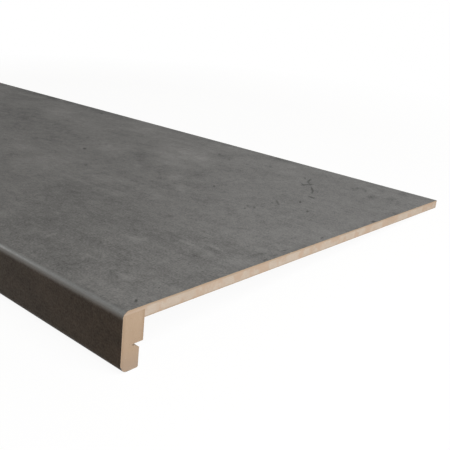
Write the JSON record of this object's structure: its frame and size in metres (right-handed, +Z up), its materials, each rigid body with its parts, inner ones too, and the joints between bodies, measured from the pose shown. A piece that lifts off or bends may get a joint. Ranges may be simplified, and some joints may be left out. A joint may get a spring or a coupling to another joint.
{
  "type": "stair tread",
  "caption": "Overlay stair tread with a dropped, rounded nose: fibreboard panel and glued nose block under one concrete-look laminate, ends sawn bare.",
  "frame": {"origin": "on the floor, under the middle of the part's bounding box", "axes": "+X along the tread, +Y from the nose towards the back edge, +Z up. The tread lies as it rests unheld, on the foot of its nose and on its back edge, so its top falls 4.40 degrees towards the back."},
  "size_m": [1.3, 0.602, 0.0568],
  "materials": {
    "panel_fibreboard": "bare high-density fibreboard, sawn",
    "nose_fibreboard": "bare medium-density fibreboard, sawn and routed",
    "laminate": "matt decor laminate with a cloudy grey concrete pattern"
  },
  "bodies": {
    "root": {"carrier_board": "panel_fibreboard", "nose_block": "nose_fibreboard", "decor_laminate": "laminate"}
  },
  "joints": []
}
